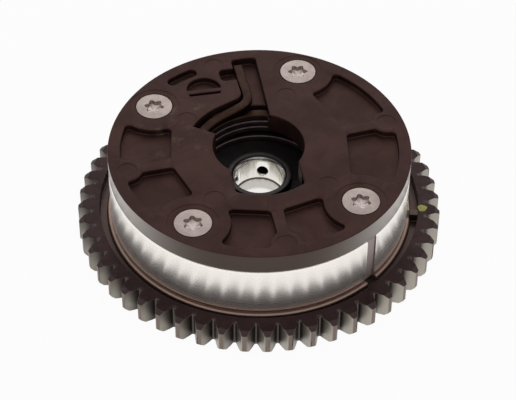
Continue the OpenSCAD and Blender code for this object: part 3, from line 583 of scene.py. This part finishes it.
def screwMesh():  # rings about the screw's own axis, from the foot over the head to the drive's floor
    low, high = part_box("cover_screw_1")
    top, foot = high.z / mm, low.z / mm
    head, shank, pole, chamfer = (screw[k] for k in ("headRadius", "shankRadius", "pole", "footChamfer"))
    waist, lobe = screw["driveWaist"], screw["driveRadius"]
    neck = top - screw["rimHeight"] - (head - shank)
    plain = [(pole, foot), (shank - chamfer, foot), (shank, foot + chamfer), (shank, neck)]
    plain += [(head - inset, top - drop) for inset, drop in screw["rim"]]
    rings = [(radius, radius, level) for radius, level in plain]  # least reach, widest reach, level
    rings += [(waist + grow, lobe + grow, top - drop) for grow, drop in screw["driveWall"]]
    rings += [(waist / 2, lobe / 2, top - screw["floorDepth"]), (pole, pole, top - screw["driveDepth"])]

    def ringPoint(k, least, widest, level):
        turn = 2 * math.pi * k / screw["around"]
        swell = (0.5 + 0.5 * math.cos(screw["lobes"] * turn)) ** screw["lobePower"]
        reach = least + (widest - least) * swell
        return Vector((reach * math.cos(turn), reach * math.sin(turn), level)) * mm
    mesh = skinRings("coverScrew", [[ringPoint(k, *ring) for k in range(screw["around"])] for ring in rings])
    mesh.set_sharp_from_angle(angle=math.radians(screw["sharpAngle"]))
    return mesh


def screwTree():  # one screw set on every seat
    tree, given = newTree("coverScrewSet", {"Screw": "Object", "Size": "Float"})
    single = addNode(tree, "GeometryNodeObjectInfo", {"Object": given["Screw"]}).outputs["Geometry"]
    turn = addNode(tree, "GeometryNodeInputNamedAttribute", {"Name": "driveTurn"}, data_type="FLOAT")
    axes = addNode(tree, "ShaderNodeCombineXYZ", {"Z": turn.outputs[0]})
    spun = addNode(tree, "FunctionNodeEulerToRotation", {0: axes.outputs[0]})
    sockets = {"Points": given["Geometry"], "Instance": single, "Rotation": spun.outputs[0],
               "Scale": given["Size"]}
    placed = addNode(tree, "GeometryNodeInstanceOnPoints", sockets)
    return endTree(tree, placed.outputs[0], given["Finish"])


def makeScrews():
    nodes = family("cover_screw")
    centres = [sum(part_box(node), Vector()) / 2 for node in nodes]
    seats = bpy.data.meshes.new("screwSeats")
    seats.from_pydata([(c.x, c.y, 0) for c in centres], [], [])
    turns = seats.attributes.new("driveTurn", "FLOAT", "POINT")
    turns.data.foreach_set("value", [math.radians(t) for t in screw["turns"]])
    master = addPiece("screwMaster", screwMesh())
    finish = screwZinc(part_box("cover_screw_1")[1].z / mm)
    values = {"Screw": master, "Size": 1.0, "Finish": finish}
    piece = runTree(addPiece("coverScrews", seats), screwTree(), values)
    bpy.data.objects.remove(master)
    return dress(piece, finish, "housing", "screw_steel", *nodes)


makeScrews()
print("cover screws set")


# return spring

spring = {"wireWidth": 2.8, "wireHeight": 1.8, "corner": 0.42, "cornerSteps": 4, "coilRadius": 18.4,
          "pitch": 2.15, "endPitch": 3.75, "closedAngle": 190, "turns": 4, "legAngle": 125, "legRun": 5.8,
          "legBendRadius": 5, "legBend": 68, "legLength": 13.2, "legDrop": 0.6, "tangAngle": 281.2,
          "tangBendRadius": 3, "tangBend": 90, "tangLength": 1.9, "step": 4, "sharpAngle": 50}
springLook = {"brown": ((0.02, 0.0092, 0.0066), (0.034, 0.0165, 0.0118)), "worn": (0.2, 0.125, 0.09),
              "wornShare": 0.45, "deepCoil": ((0.07, 0.05, 0.053), (0.105, 0.076, 0.08)),
              "deepCoilHeights": (25.2, 23.6), "satin": (0.36, 0.2), "bump": (0.02, 0.25)}


def springWire():  # tempered wire, warm brown on the leg, and greyer and lighter lower down in the cup
    look = springLook
    material, tree, shader = newMaterial("springWire", 1.0)
    place = useGroup(tree, turnedPlace)
    grain = useGroup(tree, castGrain, {"Grain Scale": 1500.0, "Patch Scale": 260.0})
    wear = useGroup(tree, edgeWear, {"Width": 0.5 * mm, "Break Up": 0.55})["Wear"]
    brown = blendColour(tree, grain["Patches"], *look["brown"])
    rubbed = blendColour(tree, calc(tree, "MULTIPLY", wear, look["wornShare"]), brown, look["worn"])
    deepCoil = blendColour(tree, grain["Patches"], *look["deepCoil"])
    deep = ramp(tree, place["Height"], *look["deepCoilHeights"])
    tree.links.new(blendColour(tree, deep, rubbed, deepCoil), shader["Base Color"])
    tree.links.new(vary(tree, grain["Grain"], *look["satin"]), shader["Roughness"])
    setBump(tree, shader, grain["Grain"], *look["bump"])
    return material


def polar(radius, angle):
    return Vector((radius * math.cos(math.radians(angle)), radius * math.sin(math.radians(angle))))


def springPath():  # from the end of the upper leg, round the coil, to the end of the lower tang
    s = spring
    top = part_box("return_spring")[1].z / mm - s["wireHeight"] / 2
    coilTop = top - s["legDrop"]
    sweep = 360 * s["turns"] + s["tangAngle"] - s["legAngle"]
    wideFrom = sweep - s["closedAngle"] - 360

    def level(turned):
        wide = max(0, min(turned - wideFrom, 360))
        return coilTop - (s["pitch"] * min(turned, wideFrom) + s["endPitch"] * wide) / 360

    def legPoint(turned):
        runEnd = polar(s["coilRadius"], s["legAngle"]) + polar(s["legRun"], s["legAngle"] - 90)
        hub = runEnd + polar(s["legBendRadius"], s["legAngle"])
        return hub - polar(s["legBendRadius"], s["legAngle"] + turned)

    def tangPoint(turned):
        hub = polar(s["coilRadius"] + s["tangBendRadius"], s["tangAngle"])
        return hub - polar(s["tangBendRadius"], s["tangAngle"] - turned)

    def steps(angle):
        count = round(angle / s["step"])
        return [angle * k / count for k in range(count + 1)]
    legEnd = legPoint(s["legBend"]) + polar(s["legLength"], s["legAngle"] - 90 + s["legBend"])
    tangEnd = tangPoint(s["tangBend"]) + polar(s["tangLength"], s["tangAngle"])
    path = [(*legEnd, top)]
    path += [(*legPoint(turned), top) for turned in reversed(steps(s["legBend"]))]
    path += [(*polar(s["coilRadius"], s["legAngle"] + turned), level(turned)) for turned in steps(sweep)]
    path += [(*tangPoint(turned), level(sweep)) for turned in steps(s["tangBend"])[1:]]
    path.append((*tangEnd, level(sweep)))
    return [Vector(p) * mm for p in path]


def springTree():  # rectangular wire with rounded corners, kept upright along the path
    tree, given = newTree("torsionWire", {"Wire Width": "Float", "Wire Height": "Float", "Corner": "Float"})
    path = addNode(tree, "GeometryNodeMeshToCurve", {0: given["Geometry"]})
    upright = addNode(tree, "GeometryNodeSetCurveNormal", {"Curve": path.outputs[0]}, mode="Z_UP")
    section = {"Width": given["Wire Width"], "Height": given["Wire Height"]}
    wire = addNode(tree, "GeometryNodeCurvePrimitiveQuadrilateral", section)
    corner = {"Curve": wire.outputs[0], "Radius": given["Corner"], "Count": spring["cornerSteps"]}
    eased = addNode(tree, "GeometryNodeFilletCurve", corner, mode="POLY")
    sweep = {0: upright.outputs[0], 1: eased.outputs[0], "Fill Caps": True}
    swept = addNode(tree, "GeometryNodeCurveToMesh", sweep)
    return endTree(tree, swept.outputs[0], given["Finish"])


def makeSpring():
    points = springPath()
    line = bpy.data.meshes.new("springPath")
    line.from_pydata(points, [(i, i + 1) for i in range(len(points) - 1)], [])
    finish = springWire()
    sizes = {"Wire Width": spring["wireWidth"] * mm, "Wire Height": spring["wireHeight"] * mm,
             "Corner": spring["corner"] * mm, "Finish": finish}
    piece = runTree(addPiece("returnSpring", line), springTree(), sizes)
    shape = bmesh.new()
    shape.from_mesh(piece.data)
    bmesh.ops.recalc_face_normals(shape, faces=shape.faces)
    shape.to_mesh(piece.data)
    shape.free()
    piece.data.shade_smooth()
    piece.data.set_sharp_from_angle(angle=math.radians(spring["sharpAngle"]))
    dress(piece, finish, None, "spring_steel", "return_spring")
    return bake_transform(piece)


makeSpring()
print("return spring wound")


# timing mark: the dome goes by share of the size and of the rise, the wobble by depth, count and shift

dot = {"radius": 47.35, "angle": -3.7, "size": 1.35, "rise": 0.06, "around": 28,
       "dome": ((1.0, -0.02), (1.0, 0.25), (0.92, 0.7), (0.6, 1.0)),
       "wobble": ((0.07, 3, 0.6), (0.04, 5, 0)), "paint": ((0.21, 0.2, 0.02), (0.36, 0.34, 0.05)),
       "satin": (0.35, 0.2), "bump": (0.03, 0.5)}


def timingPaint():  # dab of yellow-green marking paint
    material, tree, shader = newMaterial("timingPaint", 0.0)
    grain = useGroup(tree, castGrain, {"Grain Scale": 2400.0, "Patch Scale": 900.0})
    tree.links.new(blendColour(tree, grain["Patches"], *dot["paint"]), shader["Base Color"])
    tree.links.new(vary(tree, grain["Grain"], *dot["satin"]), shader["Roughness"])
    setBump(tree, shader, grain["Grain"], *dot["bump"])
    return material


def makeTimingDot():  # a thin domed dab on the front face of the teeth
    centre = Vector((*polar(dot["radius"], dot["angle"]) * mm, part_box("sprocket")[1].z))

    def dabPoint(k, share, height):
        turn = 2 * math.pi * k / dot["around"]
        swell = 1 + sum(depth * math.sin(count * turn + shift) for depth, count, shift in dot["wobble"])
        reach = dot["size"] * share * swell
        return centre + Vector((reach * math.cos(turn), reach * math.sin(turn), height * dot["rise"])) * mm
    rings = [[dabPoint(k, *ring) for k in range(dot["around"])] for ring in dot["dome"]]
    piece = addPiece("timingDot", skinRings("timingDot", rings))
    setFinish(piece.data, timingPaint())
    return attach(piece, "housing")


makeTimingDot()
print("timing mark dabbed")


# inner pieces keep the shape of their nodes

innerLook = {"steel": ((0.42, 0.42, 0.42), (0.56, 0.56, 0.55)), "ground": (0.18, 0.2),
             "strip": ((0.016, 0.016, 0.018), (0.03, 0.03, 0.032)), "matte": (0.45, 0.2), "sharpAngle": 50}


def groundSteel():  # ground and hardened inner pieces
    material, tree, shader = newMaterial("groundSteel", 1.0)
    grain = useGroup(tree, castGrain, {"Grain Scale": 3000.0, "Patch Scale": 500.0})
    tree.links.new(blendColour(tree, grain["Patches"], *innerLook["steel"]), shader["Base Color"])
    tree.links.new(vary(tree, grain["Grain"], *innerLook["ground"]), shader["Roughness"])
    return material


def sealStrip():  # dark moulded seal strips
    material, tree, shader = newMaterial("sealStrip", 0.0)
    grain = useGroup(tree, castGrain, {"Grain Scale": 2000.0, "Patch Scale": 300.0})
    tree.links.new(blendColour(tree, grain["Patches"], *innerLook["strip"]), shader["Base Color"])
    tree.links.new(vary(tree, grain["Grain"], *innerLook["matte"]), shader["Roughness"])
    return material


def makePinSpring(material):  # held by its stop at the upper end, pushed by the pin at the lower one
    piece = addPiece("lockPinSpring", nodeMesh("lock_pin_spring"))
    piece.data.shade_smooth()
    piece.data.set_sharp_from_angle(angle=math.radians(innerLook["sharpAngle"]))
    dress(piece, material, None, "ground_steel", "lock_pin_spring")
    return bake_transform(piece)


def finishNodes(material, names):
    for name in names:
        setFinish(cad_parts[name].data, material)


pinSteel = groundSteel()
makePinSpring(pinSteel)
finishNodes(pinSteel, ["lock_pin", "lock_pin_stop", "lock_pin_seat"])
finishNodes(pinSteel, family("vane_seal_spring") + family("web_seal_spring"))
finishNodes(sealStrip(), family("vane_seal") + family("web_seal"))
print("inner pieces finished")


# studio

studio = {"floorSize": 3.0, "floorDrop": 0.02 * mm, "floorColour": (0.86, 0.86, 0.86), "whiteShare": 0.95,
          "skyFill": 0.55}
lamps = {"overheadBox": {"place": (-0.12, 0.12, 0.6), "size": 0.5, "power": 0.15, "target": (0, 0, 0.015)},
         "backBox": {"place": (0.0, 0.5, 0.36), "size": 0.3, "power": 0.35, "target": (0, 0.03, 0.028)}}


def seenDirectly(tree):  # camera, mirror and glass rays
    path = addNode(tree, "ShaderNodeLightPath").outputs
    glossy = calc(tree, "MAXIMUM", path["Is Glossy Ray"], path["Is Transmission Ray"])
    return calc(tree, "MAXIMUM", path["Is Camera Ray"], glossy)


def makeFloor():
    half = studio["floorSize"] / 2
    corners = [(-half, -half, 0), (half, -half, 0), (half, half, 0), (-half, half, 0)]
    mesh = bpy.data.meshes.new("floor")
    mesh.from_pydata(corners, [], [(0, 1, 2, 3)])
    floor = addPiece("floor", mesh)
    floor.location.z = -studio["floorDrop"]
    material = bpy.data.materials.new("studioFloor")
    material.use_nodes = True
    tree = material.node_tree
    tree.nodes.remove(tree.nodes["Principled BSDF"])
    matte = addNode(tree, "ShaderNodeBsdfDiffuse", {"Color": (*studio["floorColour"], 1.0)})
    white = addNode(tree, "ShaderNodeEmission", {"Color": (1, 1, 1, 1), "Strength": 1.0})
    share = calc(tree, "MULTIPLY", seenDirectly(tree), studio["whiteShare"])
    mixed = addNode(tree, "ShaderNodeMixShader", {0: share, 1: matte.outputs[0], 2: white.outputs[0]})
    tree.links.new(mixed.outputs[0], tree.nodes["Material Output"].inputs["Surface"])
    setFinish(mesh, material)


def makeSky():
    world = bpy.data.worlds.new("studioSky")
    scene.world = world
    world.use_nodes = True
    tree = world.node_tree
    sky = tree.nodes["Background"]
    sky.inputs["Color"].default_value = (1, 1, 1, 1)
    strength = blendValue(tree, seenDirectly(tree), studio["skyFill"], 1.0)
    tree.links.new(strength, sky.inputs["Strength"])


def makeLamp(name, place, size, power, target):
    light = bpy.data.lights.new(name, "AREA")
    light.size = size
    light.energy = power
    lamp = addPiece(name, light)
    lamp.location = place
    lamp.rotation_euler = (Vector(target) - Vector(place)).to_track_quat("-Z", "Y").to_euler()


makeFloor()
makeSky()
for name, lamp in lamps.items():
    makeLamp(name, **lamp)
print("studio lit")


# camera: angles in radians, the cover's top centre from the lens in millimetres

view = {"elevation": 0.7773, "roll": 0.0097, "lens": 127.456, "sensor": 36.0,
        "right": 0.4282, "up": 14.8697, "distance": 516.72, "clipStart": 0.01}


def makeCamera():
    e, roll = view["elevation"], view["roll"]
    forward = Vector((0, math.cos(e), -math.sin(e)))
    level, rise = Vector((1, 0, 0)), Vector((0, math.sin(e), math.cos(e)))
    right = math.cos(roll) * level + math.sin(roll) * rise
    up = math.cos(roll) * rise - math.sin(roll) * level
    top = Vector((0, 0, coverTop))
    place = top - (view["right"] * right + view["up"] * up + view["distance"] * forward) * mm
    data = bpy.data.cameras.new("photoCamera")
    data.sensor_fit = "HORIZONTAL"
    data.sensor_width = view["sensor"]
    data.lens = view["lens"]
    data.clip_start = view["clipStart"]
    camera = addPiece("photoCamera", data)
    turn = Matrix((right, up, -forward)).transposed().to_4x4()
    camera.matrix_world = Matrix.Translation(place) @ turn
    scene.camera = camera


makeCamera()
scene.view_settings.view_transform = "Standard"
print("camera ready")
